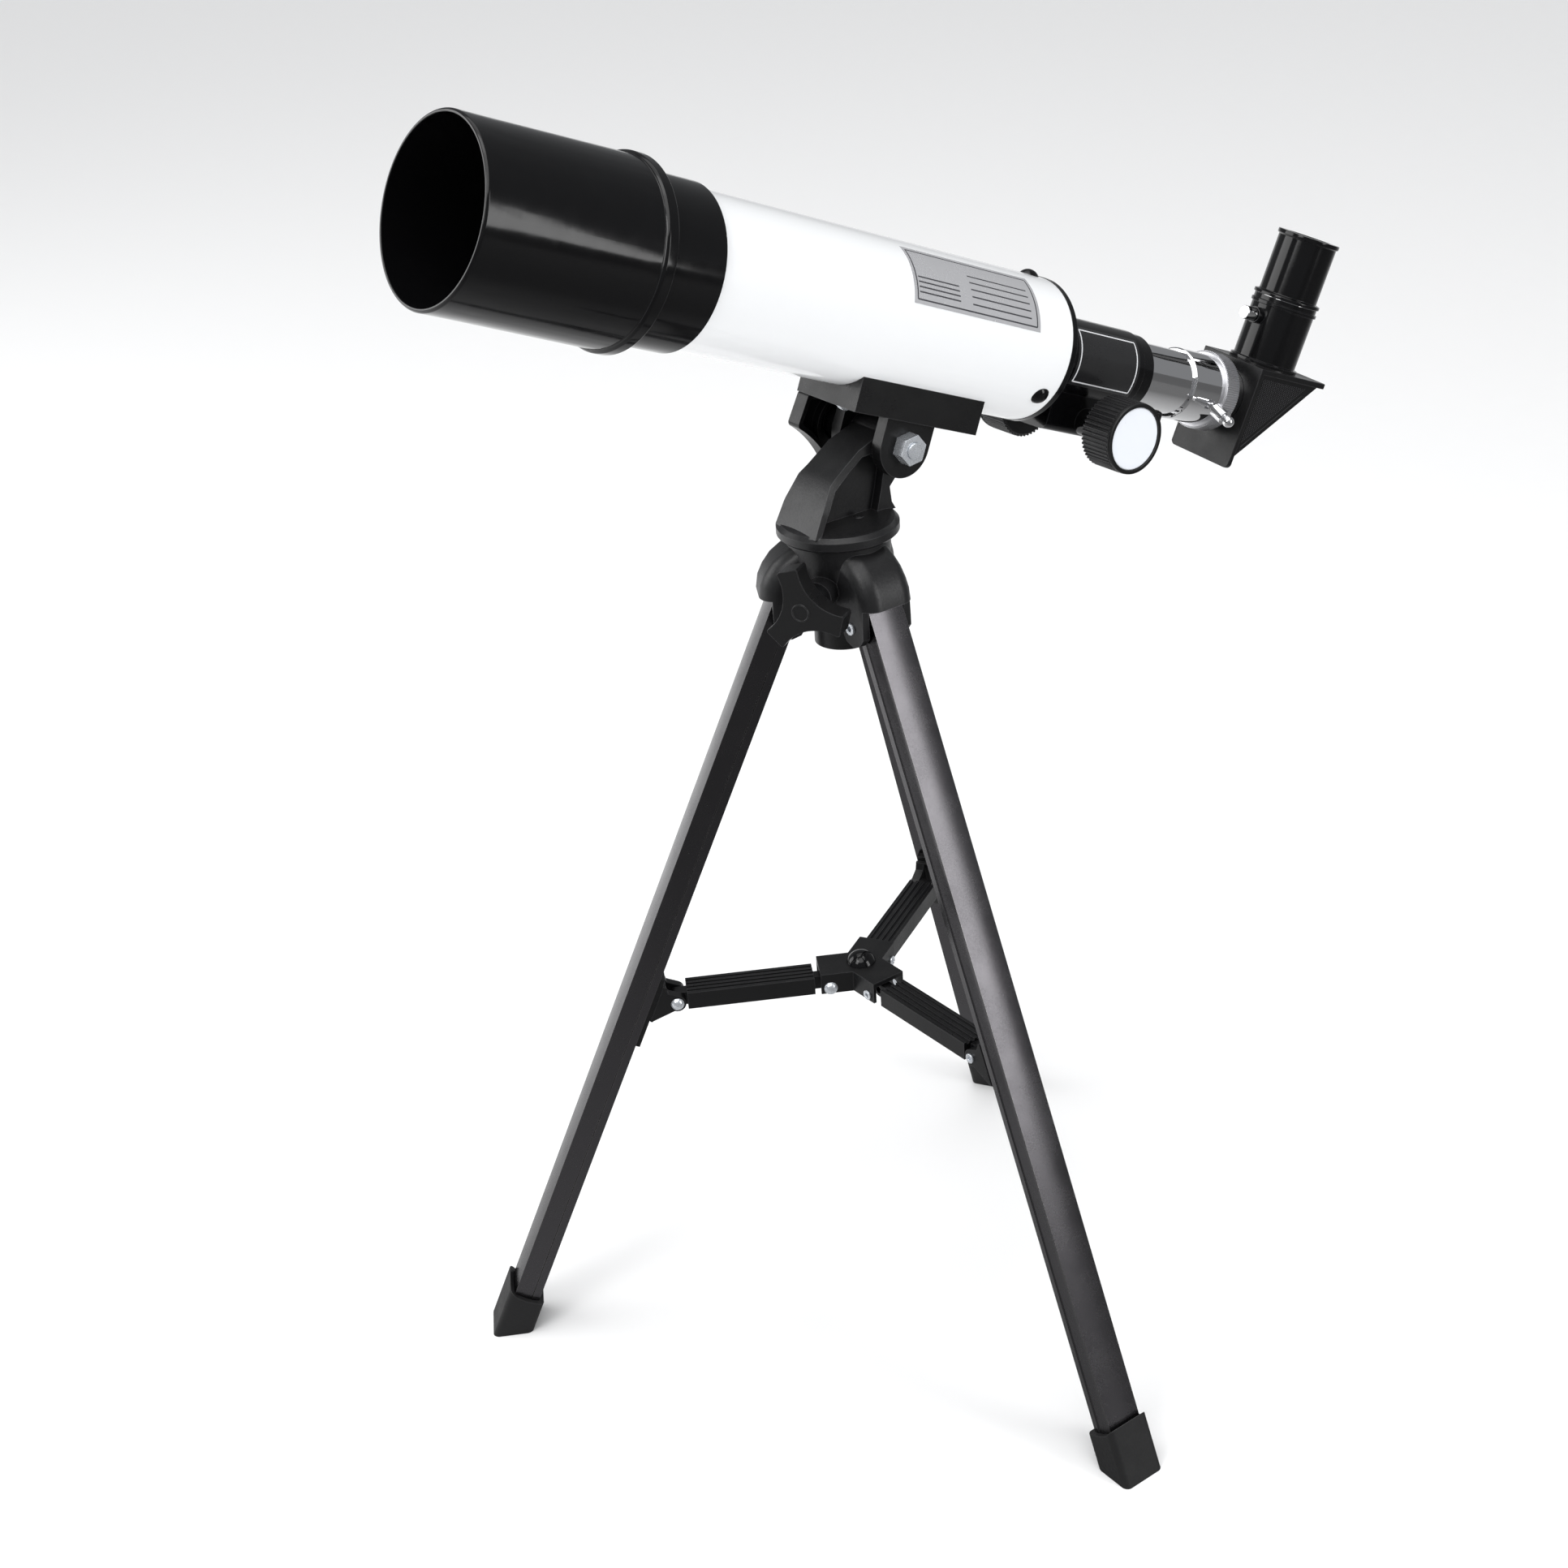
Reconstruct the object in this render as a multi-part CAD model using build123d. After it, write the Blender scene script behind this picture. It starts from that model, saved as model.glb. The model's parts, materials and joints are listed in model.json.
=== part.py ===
"""Tabletop refracting telescope on a folding three-legged stand, as separate pieces.

Millimetres, +Z up. The origin is on the floor, on the stand's vertical axis. At rest the tube
points towards -X and tilts up, and the three legs stand spread with their spreader arms level.
"""
from build123d import *
from math import atan2, ceil, cos, degrees, floor, hypot, pi, radians, sin
import os

# ---- stand: driving dimensions ----
LEG_AZIMUTHS = (30, 150, 270)     # compass of the legs about Z, degrees
LEG_SPREAD = 23.1                 # leg from the vertical when spread
LEG_PIN_RADIUS = 20.0             # hinge pin from the stand's axis
LEG_PIN_HEIGHT = 318.6
LEG_WIDTH = 15.5
LEG_DEPTH = 11.6
LEG_INNER_FACE = -2.5             # inner face from the hinge pin, across the leg
LEG_ABOVE_PIN = 7.0
LEG_WALL = 1.3
LEG_END_HEIGHT = 5.0              # end of the metal above the floor
HINGE_R = 2.0
PIN_R = 1.5                       # small rivets of the spreader
RUNNING = 0.05                    # radial clearance of a turning or sliding fit
ARM_HEIGHT = 155.0                # level of the spreader's pins
HUB_PIN_RADIUS = 13.7
CLIP_PIN_RADIUS = 75.8
ARM_HALF_WIDTH = 6.0
HUB_HALF_WIDTH = 7.6
HUB_WALL = 1.3
HUB_END = 17.6
HEAD_BOTTOM = 305.0
HEAD_TOP = 347.4
LOBE_HALF_WIDTH = 11.4
SLOT_HALF_WIDTH = 8.15
SPINDLE_R = 7.0
PAN_LOCK_AZIMUTH = 210
PAN_LOCK_HEIGHT = 331.0

# ---- yoke and saddle ----
DISC_R = 22.9
DISC_BOTTOM = 347.8
DISC_TOP = 354.0
BOLT_X, BOLT_Z = 21.5, 378.5      # tilt bolt's axis, along Y
BOLT_R = 3.0
BARREL_R = 8.2
BARREL_HALF = 9.2
EAR_INNER, EAR_OUTER = 9.5, 14.5
EAR_R = 11.5
SADDLE_HALF_WIDTH = 17.0
SADDLE_FRONT, SADDLE_REAR = -11.0, -71.0
SADDLE_BOTTOM = -33.7

# ---- telescope, along the tube's axis from above the stand, positive towards the objective ----
TUBE_TILT = 22.2                  # above the horizon at rest
TUBE_AXIS_HEIGHT = 433.7          # tube's axis where it crosses the stand's axis
TUBE_R = 27.0
TUBE_WALL = 0.9
TUBE_FRONT, TUBE_REAR = 80.0, -98.0
CELL_R = 28.6
CELL_REAR, CELL_FRONT = 67.0, 97.0
LENS_R = 25.5                     # 50 mm clear aperture in a 51 mm glass
LENS_CURVE = 150.0
LENS_SEAT = 82.0
SHIELD_FRONT, SHIELD_REAR = 160.6, 89.6
SHIELD_R = 31.2
COLLAR_R = 32.9
FOCUSER_R = 15.6
FOCUSER_END = -157.6
DRAWTUBE_R = 12.9
DRAWTUBE_REAR = -186.0
DRAWTUBE_FRONT = -64.0
BARREL_EYE_R = 12.25              # 24.5 mm eyepiece standard
PINION_ALONG, PINION_UP = -132.0, -21.3
PITCH_R = 4.0
TEETH = 10
RACK = (-182.0, -72.0)             # ends of the rack
KNOB_R = 13.9
KNOB_INNER, KNOB_OUTER = 21.0, 38.5
THUMBSCREW_ALONG, THUMBSCREW_ANGLE = -198.0, -20

# ---- star diagonal, eyepiece ----
DIAGONAL_LEAN = 4.6               # diagonal turned about the tube's axis, towards the near side
PLATE_ALONG = -215.3              # front face of the diagonal
EYE_ALONG = -234.0                # eyepiece axis
DIAGONAL_TOP, DIAGONAL_BOTTOM = 15.9, -26.5
DIAGONAL_HALF_WIDTH = 16.9
HOLDER_R = 13.2
HOLDER_TOP = 43.0
EYEPIECE_TOP = 69.7

SPREAD = radians(LEG_SPREAD)
TILT = radians(TUBE_TILT)
TUBE = Plane(origin=(0, 0, TUBE_AXIS_HEIGHT), x_dir=(0, -1, 0), z_dir=(-cos(TILT), 0, sin(TILT)))
LEAN = radians(DIAGONAL_LEAN)
DIAGONAL = Plane(origin=TUBE.origin, x_dir=TUBE.x_dir * cos(LEAN) - TUBE.y_dir * sin(LEAN), z_dir=TUBE.z_dir)
PARTS = {}


# ---- helpers ----
def add(name, *solids):
    """Keep a node: one solid, or a group of separate ones."""
    PARTS[name] = solids[0] if len(solids) == 1 else Compound(children=list(solids))


def turned(*profile, arc=360):
    """Solid of revolution about local Z, from (radius, height) points."""
    outline = Polyline(*[(r, 0, z) for r, z in profile], close=True)
    return revolve(make_face(outline), Axis.Z, arc)


def ring(inner, outer, low, high):
    return turned((inner, low), (outer, low), (outer, high), (inner, high))


def box(x, y, z):
    """Box between (low, high) pairs."""
    size = (x[1] - x[0], y[1] - y[0], z[1] - z[0])
    return Pos((x[0] + x[1]) / 2, (y[0] + y[1]) / 2, (z[0] + z[1]) / 2) * Box(*size)


def rod(radius, start, end):
    """Cylinder from one point to another."""
    line = Vector(*end) - Vector(*start)
    return Plane(origin=start, z_dir=line) * Cylinder(
        radius, line.length, align=(Align.CENTER, Align.CENTER, Align.MIN))


def plate_xz(points, y_low, y_high):
    """Flat piece with an outline of (x, z) points, between two levels of y."""
    face = make_face(Polyline(*[(x, y_low, z) for x, z in points], close=True))
    return extrude(face, y_high - y_low, dir=(0, 1, 0))


def turn_to(azimuth, shape):
    return Rot(0, 0, azimuth) * shape


def on_leg(azimuth, shape):
    """From the leg's frame (x out across it, z down along it) to its place."""
    frame = Plane(origin=(LEG_PIN_RADIUS, 0, LEG_PIN_HEIGHT),
                  x_dir=(cos(SPREAD), 0, sin(SPREAD)), z_dir=(sin(SPREAD), 0, -cos(SPREAD)))
    return turn_to(azimuth, frame.location * shape)


def dome(radius, height):
    """Rivet or screw head: a spherical cap standing on z = 0."""
    ball = (radius ** 2 + height ** 2) / (2 * height)
    cap = Pos(0, 0, height - ball) * Sphere(ball)
    return cap & box((-radius, radius), (-radius, radius), (0, height))


def rivet(shank_r, half_length, head_r, head_height):
    """Rivet along local Z: domed head at +z, hollow rolled end at -z."""
    shank = rod(shank_r, (0, 0, -half_length - 0.6), (0, 0, half_length))
    head = Pos(0, 0, half_length) * dome(head_r, head_height)
    rolled = ring(shank_r * 0.55, head_r * 0.72, -half_length - 0.9, -half_length)
    hollow = rod(shank_r * 0.55, (0, 0, -half_length - 1), (0, 0, -half_length + 2.5))
    return (shank + head + rolled) - hollow


# ---- legs ----
def leg_section():
    """Sides stepped in between a narrowed inner edge and a slightly convex outer face."""
    low, high = LEG_INNER_FACE, LEG_INNER_FACE + LEG_DEPTH
    half, bulge, step = LEG_WIDTH / 2, 0.5, 0.45
    shoulder = high - bulge
    side = [(low, half - 0.6), (low + 3.4, half), (low + 3.6, half - step), (shoulder - 2.4, half - step),
            (shoulder, half)]
    sides = Polyline(*[(x, -y) for x, y in reversed(side)], *side)
    crown = ThreePointArc((shoulder, half), (high, 0), (shoulder, -half))
    return make_face([sides, crown])


def clip_point():
    """Clip's pin in the leg's frame."""
    out, down = CLIP_PIN_RADIUS - LEG_PIN_RADIUS, LEG_PIN_HEIGHT - ARM_HEIGHT
    return (out * cos(SPREAD) - down * sin(SPREAD), out * sin(SPREAD) + down * cos(SPREAD))


def build_legs():
    length = (LEG_PIN_HEIGHT - LEG_END_HEIGHT) / cos(SPREAD)
    top = -LEG_ABOVE_PIN
    bore = Pos(LEG_INNER_FACE + LEG_DEPTH / 2, 0) * Rectangle(LEG_DEPTH - 2 * LEG_WALL,
                                                              LEG_WIDTH - 2 * LEG_WALL)
    tube = Pos(0, 0, top) * (extrude(leg_section(), length - top) - extrude(bore, length - top))
    hinge_hole = rod(HINGE_R + RUNNING, (0, -LEG_WIDTH, 0), (0, LEG_WIDTH, 0))
    for number, azimuth in enumerate(LEG_AZIMUTHS, 1):
        add(f"leg_{number}", on_leg(azimuth, tube - hinge_hole))
        add(f"rubber_foot_{number}", foot(azimuth, length))
        add(f"leg_clip_{number}", on_leg(azimuth, leg_clip()))
        add(f"clip_rivet_{number}", clip_rivet(azimuth))


def foot(azimuth, length):
    """Rubber boot around the leg's end, flat on the floor, its rim rising towards the outside."""
    wall = 2.1
    low, high = LEG_INNER_FACE - wall, LEG_INNER_FACE + LEG_DEPTH + wall
    half = LEG_WIDTH / 2 + wall
    body = box((low, high), (-half, half), (length - 20, length + 14))
    body = fillet(body.edges().filter_by(Axis.Z), 2.6)
    rim = [(low - 1, length - 11.8), (3.0, length - 11.8), (7.5, length - 12.8), (high + 1, length - 15.8),
           (high + 1, length - 21), (low - 1, length - 21)]
    body -= plate_xz(rim, -half - 1, half + 1)
    body -= Pos(0, 0, length - 40) * extrude(leg_section(), 40)
    floor = box((-400, 400), (-400, 400), (0, 400))
    return on_leg(azimuth, body) & floor


def leg_clip():
    """Bracket on the leg's inner face: a strip with two ears for the arm's end."""
    x, z = clip_point()
    face = LEG_INNER_FACE
    strip = box((face - 2.2, face), (-5.6, 5.6), (z - 9, z + 24))
    block = box((face - 3.4, face - 2.2), (-6.3, 6.3), (z - 6, z + 11))
    outline = [(face - 3.0, z - 6), (x + 5.2, z - 3.5), (x, z - 3.5), (x, z + 3.5), (face - 3.0, z + 11)]
    ears = plate_xz(outline, -6.3, 6.3) + rod(3.5, (x, -6.3, z), (x, 6.3, z))
    gap = box((x - 6, face - 3.4), (-2.8, 2.8), (z - 12, z + 14))
    return (strip + block + ears) - gap - rod(PIN_R, (x, -8, z), (x, 8, z))


def clip_rivet(azimuth):
    x, z = clip_point()
    frame = Plane(origin=(x, 0, z), x_dir=(1, 0, 0), z_dir=(0, -1, 0))
    return on_leg(azimuth, frame.location * rivet(PIN_R, 6.3, 2.8, 1.8))


# ---- spreader ----
def arm():
    """Spreader arm along +X: a ribbed channel with a tongue at each end."""
    start, end = HUB_PIN_RADIUS + 6.2, CLIP_PIN_RADIUS - 4.2
    low, high = ARM_HEIGHT - 3.1, ARM_HEIGHT + 4.4
    body = box((start, end), (-ARM_HALF_WIDTH, ARM_HALF_WIDTH), (low, high))
    body -= box((start + 2.5, end - 2.5), (-4.6, 4.6), (low - 1, high - 2.2))
    for y in (-3.9, -1.3, 1.3, 3.9):
        body -= box((start - 1, end + 1), (y - 0.65, y + 0.65), (high - 0.8, high + 1))
    inner = box((HUB_PIN_RADIUS, start + 3), (-2.2, 2.2), (low + 0.2, ARM_HEIGHT + 2.9))
    inner += rod(2.9, (HUB_PIN_RADIUS, -2.2, ARM_HEIGHT), (HUB_PIN_RADIUS, 2.2, ARM_HEIGHT))
    outer = box((end - 3, CLIP_PIN_RADIUS), (-2.5, 2.5), (low + 0.2, ARM_HEIGHT + 2.9))
    outer += rod(2.9, (CLIP_PIN_RADIUS, -2.5, ARM_HEIGHT), (CLIP_PIN_RADIUS, 2.5, ARM_HEIGHT))
    whole = body + inner + outer
    for radius in (HUB_PIN_RADIUS, CLIP_PIN_RADIUS):
        whole -= rod(PIN_R + RUNNING, (radius, -7, ARM_HEIGHT), (radius, 7, ARM_HEIGHT))
    return whole


def star(half_width, reach, low, high):
    """Three-pointed star prism about Z, points along the legs."""
    arms = [turn_to(a, box((0, reach), (-half_width, half_width), (low, high))) for a in LEG_AZIMUTHS]
    return arms[0] + arms[1] + arms[2]


def build_spreader():
    for number, azimuth in enumerate(LEG_AZIMUTHS, 1):
        add(f"spreader_arm_{number}", turn_to(azimuth, arm()))
    low, under, top = ARM_HEIGHT - 2.4, ARM_HEIGHT + 4.7, ARM_HEIGHT + 6.6
    hub = star(HUB_HALF_WIDTH, HUB_END, low, top)
    hub -= star(HUB_HALF_WIDTH - HUB_WALL, HUB_END + 1, low - 1, under)
    rivets = []
    for azimuth in LEG_AZIMUTHS:
        across = turn_to(azimuth, rod(PIN_R, (HUB_PIN_RADIUS, -9, ARM_HEIGHT), (HUB_PIN_RADIUS, 9, ARM_HEIGHT)))
        hub -= across
        rivets += [turn_to(azimuth, stub) for stub in hub_rivet_ends()]
    hub -= rod(1.6, (0, 0, under - 1), (0, 0, top + 1))
    add("spreader_hub", hub)
    add("hub_rivets", *rivets)
    add("hub_cap_rivet", rod(1.6, (0, 0, under), (0, 0, top)) + Pos(0, 0, top) * dome(6.0, 4.6))


def hub_rivet_ends():
    """The two ends of a hub rivet; the gap between them is the open pivot's clearance."""
    inner, outer = HUB_HALF_WIDTH - HUB_WALL, HUB_HALF_WIDTH
    frame = Plane(origin=(HUB_PIN_RADIUS, 0, ARM_HEIGHT), x_dir=(1, 0, 0), z_dir=(0, 1, 0))
    head = rod(PIN_R, (0, 0, inner), (0, 0, outer)) + Pos(0, 0, outer) * dome(2.9, 1.9)
    rolled = ring(0.9, PIN_R, -outer, -inner) + ring(0.9, 2.1, -outer - 0.8, -outer)
    return [frame.location * head, frame.location * rolled]


# ---- head ----
def lobe():
    """Shoulder over one leg's top, with the two cheeks that hold its hinge pin, along +X."""
    outline = [(0, HEAD_TOP - 1), (17, HEAD_TOP - 1), (21.5, 343.6), (25.5, 340.4), (28.6, 336.2),
               (30.6, 332), (31.4, 327), (27, 327), (27, 315.8), (24.6, 312.6), (20.6, 311.4), (17.0, 312.8),
               (13.0, 319.5), (0, 319.5)]
    body = plate_xz(outline, -LOBE_HALF_WIDTH, LOBE_HALF_WIDTH)
    shoulders = [e for e in body.edges()
                 if abs(abs(e.center().Y) - LOBE_HALF_WIDTH) < 0.01
                 and e.center().Z > 327.5 and e.center().X > 17 and e.center().Z < HEAD_TOP - 1.5]
    return fillet(shoulders, 6.5)


def build_head():
    body = ring(0, 19.4, 341.5, HEAD_TOP) + turned((0, 327), (15.0, 327), (19.4, 341.5), (0, 341.5))
    body += rod(11.0, (0, 0, HEAD_BOTTOM), (0, 0, 342))
    shoulder = lobe()
    slot = box((12.3, 29.0), (-SLOT_HALF_WIDTH, SLOT_HALF_WIDTH), (300, 330.6))
    pin_hole = rod(HINGE_R, (LEG_PIN_RADIUS, -20, LEG_PIN_HEIGHT), (LEG_PIN_RADIUS, 20, LEG_PIN_HEIGHT))
    for azimuth in LEG_AZIMUTHS:
        body += turn_to(azimuth, shoulder)
    for azimuth in LEG_AZIMUTHS:
        body -= turn_to(azimuth, slot + pin_hole)
    body += turn_to(PAN_LOCK_AZIMUTH, rod(6.0, (8, 0, PAN_LOCK_HEIGHT), (23.5, 0, PAN_LOCK_HEIGHT)))
    body -= rod(SPINDLE_R + RUNNING, (0, 0, 300), (0, 0, 350))
    body -= rod(9.2, (0, 0, 300), (0, 0, 311))
    body -= turn_to(PAN_LOCK_AZIMUTH, rod(2.5 + RUNNING, (5, 0, PAN_LOCK_HEIGHT), (30, 0, PAN_LOCK_HEIGHT)))
    add("tripod_head", body)
    frame = Plane(origin=(LEG_PIN_RADIUS, 0, LEG_PIN_HEIGHT), x_dir=(1, 0, 0), z_dir=(0, 1, 0))
    hinge = frame.location * rivet(HINGE_R, LOBE_HALF_WIDTH, 3.2, 1.6)
    add("leg_hinge_rivets", *[turn_to(azimuth, hinge) for azimuth in LEG_AZIMUTHS])


def star_knob(reach, half_width, waist, thickness, blend):
    """Knob along local Z from z = 0 with flat-ended arms at 90, 210 and 330 degrees, hollowed between them."""
    def at(radius, degrees):
        return (radius * cos(radians(degrees)), radius * sin(radians(degrees)))

    corner, half_angle = hypot(reach, half_width), degrees(atan2(half_width, reach))
    edges = []
    for arm in (90, 210, 330):
        left, following = at(corner, arm + half_angle), at(corner, arm + 120 - half_angle)
        edges.append(Line(at(corner, arm - half_angle), left))
        edges.append(ThreePointArc(left, at(waist, arm + 60), following))
    outline = make_face(edges)
    return extrude(fillet(outline.vertices(), blend), thickness)


def build_pan_lock():
    frame = turn_to(PAN_LOCK_AZIMUTH, Location(Plane(origin=(30, 0, PAN_LOCK_HEIGHT),
                                                    x_dir=(0, 1, 0), z_dir=(1, 0, 0))))
    lobes = Rot(0, 0, 16.5) * star_knob(16.2, 4.4, 7.3, 8.0, 0.9)
    knob = lobes + ring(0, 5.0, -3.5, 0) + ring(2.9, 3.4, 8.0, 8.4)
    knob -= rod(2.5, (0, 0, -4), (0, 0, 5))
    add("pan_lock_knob", frame * knob)
    add("pan_lock_screw", frame * rod(2.5, (0, 0, -22.8), (0, 0, 5)))


# ---- yoke ----
def build_yoke():
    disc = turned((0, DISC_BOTTOM), (21.6, DISC_BOTTOM), (DISC_R, DISC_BOTTOM + 1.2),
                  (DISC_R, DISC_BOTTOM + 4.0), (21.3, DISC_TOP - 0.6), (18.5, DISC_TOP), (0, DISC_TOP))
    barrel = rod(BARREL_R, (BOLT_X, -BARREL_HALF, BOLT_Z), (BOLT_X, BARREL_HALF, BOLT_Z))
    front = [(-19.5, 353), (-15.5, 361), (-9.5, 370.5), (4.5, 380), (15.5, 384), (19, 378),
             (6.0, 377.2), (-7.8, 368.0), (-13.0, 359.8), (-16.6, 353)]
    rear = [(13, 353), (15.5, 362), (17.5, 371.5), (27, 373), (24, 366.5), (19.6, 362), (20.3, 356), (22, 353)]
    taper = make_face(Polyline((-30, -12.2, 352), (-30, 12.2, 352), (-30, 11.4, 362), (-30, 9.0, 373),
                               (-30, 8.6, 384), (-30, -8.6, 384), (-30, -9.0, 373), (-30, -11.4, 362),
                               close=True))
    flanges = (plate_xz(front, -13, 13) & extrude(taper, 60, dir=(1, 0, 0))) + plate_xz(rear, -7.0, 7.0)
    web = plate_xz([(-17.5, 353), (-9, 369), (5, 379), (18, 380), (20, 366), (17, 353)], -3.0, 3.0)
    post = flanges + web + barrel
    yoke = (disc + post) - rod(BOLT_R + RUNNING, (BOLT_X, -20, BOLT_Z), (BOLT_X, 20, BOLT_Z))
    yoke -= rod(4.0, (0, 0, 340), (0, 0, 353.0))
    yoke -= rod(1.6, (5.0, -6.0, 349), (5.0, -6.0, 360))
    add("yoke", yoke)
    spindle = rod(SPINDLE_R, (0, 0, 310.8), (0, 0, DISC_BOTTOM)) + rod(4.0, (0, 0, 330), (0, 0, 353.0))
    spindle -= rod(2.0, (0, 0, 310), (0, 0, 328))
    add("pan_spindle", spindle)
    add("pan_screw", rod(2.0, (0, 0, 309.6), (0, 0, 327)) + rod(8.6, (0, 0, 309.6), (0, 0, 310.8))
        + Pos(0, 0, 309.6) * Rot(180, 0, 0) * dome(4.2, 2.4))
    add("yoke_disc_screw", Pos(5.0, -6.0, 0) * (rod(1.6, (0, 0, 349), (0, 0, DISC_TOP))
                                               + Pos(0, 0, DISC_TOP) * dome(2.3, 1.0)))


# ---- tube ----
def sag(radius):
    """Depth of the lenses' curve at a distance from their axis."""
    return LENS_CURVE - (LENS_CURVE ** 2 - radius ** 2) ** 0.5


def surface(centre, edge):
    """Half section of a lens surface, from the axis to the rim; flat if both heights are equal."""
    if centre == edge:
        return Line((0, 0, centre), (LENS_R, 0, edge))
    half = centre + (edge - centre) * sag(LENS_R / 2) / sag(LENS_R)
    return ThreePointArc((0, 0, centre), (LENS_R / 2, 0, half), (LENS_R, 0, edge))


def lens(front_centre, front_edge, back_centre, back_edge):
    """Lens about local Z from the heights of its two surfaces."""
    rim = Line((LENS_R, 0, back_edge), (LENS_R, 0, front_edge))
    axis = Line((0, 0, front_centre), (0, 0, back_centre))
    outline = [surface(back_centre, back_edge), rim, surface(front_centre, front_edge), axis]
    return revolve(make_face(outline), Axis.Z)


def build_objective():
    middle = LENS_SEAT + 5.2
    front = middle + 2.8
    depth = sag(LENS_R)
    add("objective_flint", TUBE.location * lens(middle - depth, middle, LENS_SEAT, LENS_SEAT))
    add("objective_crown", TUBE.location * lens(front + depth, front, middle - depth, middle))
    inner = 24.7
    add("lens_retaining_ring", TUBE.location * ring(inner, LENS_R + 0.1, front + depth - sag(inner), front + 3.4))


def screw_angles():
    """Round the tube's rear, seen from the front: top, near and far."""
    return (90, -32, 212)


def build_tube():
    inner = TUBE_R - TUBE_WALL
    tube = ring(inner, TUBE_R, TUBE_REAR, TUBE_FRONT)
    plug = ring(23.5, inner, TUBE_REAR, -84.0) + ring(14.0, TUBE_R + 0.2, TUBE_REAR - 2.4, TUBE_REAR)
    screws = []
    for angle in screw_angles():
        hole = Rot(0, 0, angle) * rod(1.6, (20, 0, -92), (30, 0, -92))
        tube -= hole
        plug -= hole
        head = Plane(origin=(TUBE_R - 0.1, 0, -92), x_dir=(0, 1, 0), z_dir=(1, 0, 0)).location * dome(3.7, 2.0)
        shank = rod(1.6, (23.6, 0, -92), (TUBE_R, 0, -92))
        trimmed = head - rod(TUBE_R, (0, 0, -100), (0, 0, -80))
        screws.append(TUBE.location * Rot(0, 0, angle) * (shank + trimmed))
    add("main_tube", TUBE.location * tube)
    add("rear_screws", *screws)
    add("focuser_body", TUBE.location * focuser(plug))
    label = turned((FOCUSER_R, -148), (FOCUSER_R + 0.15, -148), (FOCUSER_R + 0.15, -113.5),
                   (FOCUSER_R, -113.5), arc=88)
    add("focuser_label", TUBE.location * Rot(0, 0, -32) * label)
    foil = turned((TUBE_R, -80.5), (TUBE_R + 0.12, -80.5), (TUBE_R + 0.12, -17.5), (TUBE_R, -17.5), arc=50)
    add("tube_label", TUBE.location * Rot(0, 0, 17.8) * foil)


def focuser(plug):
    """Rear cell, focuser cylinder and pinion housing as one casting, bored for the drawtube."""
    body = plug + turned((10, TUBE_REAR - 2.4), (FOCUSER_R, TUBE_REAR - 2.4), (FOCUSER_R, -151),
                         (15.0, -152), (15.0, FOCUSER_END + 0.6), (14.4, FOCUSER_END), (10, FOCUSER_END))
    housing = box((-10, 10), (PINION_UP - 6, -8), (-141, -112))
    bottom_edges = housing.edges().filter_by(Axis.Z).group_by(Axis.Y)[0]
    body += fillet(bottom_edges, 3.0)
    body += rod(5.2, (-18.5, PINION_UP, PINION_ALONG), (18.5, PINION_UP, PINION_ALONG))
    body -= rod(DRAWTUBE_R + RUNNING, (0, 0, -160), (0, 0, -90))
    body -= box((-3.0, 3.0), (-18.2, -11), (-160, -90))
    body -= rod(PITCH_R + 0.95, (-5, PINION_UP, PINION_ALONG), (5, PINION_UP, PINION_ALONG))
    return body - rod(2.0 + RUNNING, (-25, PINION_UP, PINION_ALONG), (25, PINION_UP, PINION_ALONG))


def build_cell_and_shield():
    cell = turned((TUBE_R, CELL_REAR), (CELL_R, CELL_REAR), (CELL_R, CELL_FRONT), (25.6, CELL_FRONT),
                  (25.6, LENS_SEAT), (24.6, LENS_SEAT), (24.6, TUBE_FRONT), (TUBE_R, TUBE_FRONT))
    add("lens_cell", TUBE.location * cell)
    shield = turned((CELL_R + RUNNING, SHIELD_REAR), (COLLAR_R - 0.5, SHIELD_REAR), (COLLAR_R, SHIELD_REAR + 0.5),
                    (COLLAR_R, SHIELD_REAR + 4.0), (COLLAR_R - 0.6, SHIELD_REAR + 4.8), (31.8, SHIELD_REAR + 5.0),
                    (SHIELD_R, SHIELD_FRONT - 12.0), (SHIELD_R, SHIELD_FRONT - 0.8),
                    (SHIELD_R - 0.6, SHIELD_FRONT), (SHIELD_R - 1.4, SHIELD_FRONT),
                    (29.7, SHIELD_FRONT - 0.8), (29.7, CELL_FRONT + 1.4), (CELL_R + RUNNING, CELL_FRONT))
    add("dew_shield", TUBE.location * shield)


# ---- saddle and tilt clamp ----
def bolt_in_tube():
    """Tilt bolt's place in the tube's frame: (up, along)."""
    down = BOLT_Z - TUBE_AXIS_HEIGHT
    return (BOLT_X * sin(TILT) + down * cos(TILT), -BOLT_X * cos(TILT) + down * sin(TILT))


def ear(low, high, up, along):
    """Round-ended ear between two levels of local x, below the saddle."""
    side = box((low, high), (up, SADDLE_BOTTOM + 2), (along - EAR_R, along + EAR_R))
    return side + rod(EAR_R, (low, up, along), (high, up, along))


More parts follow.
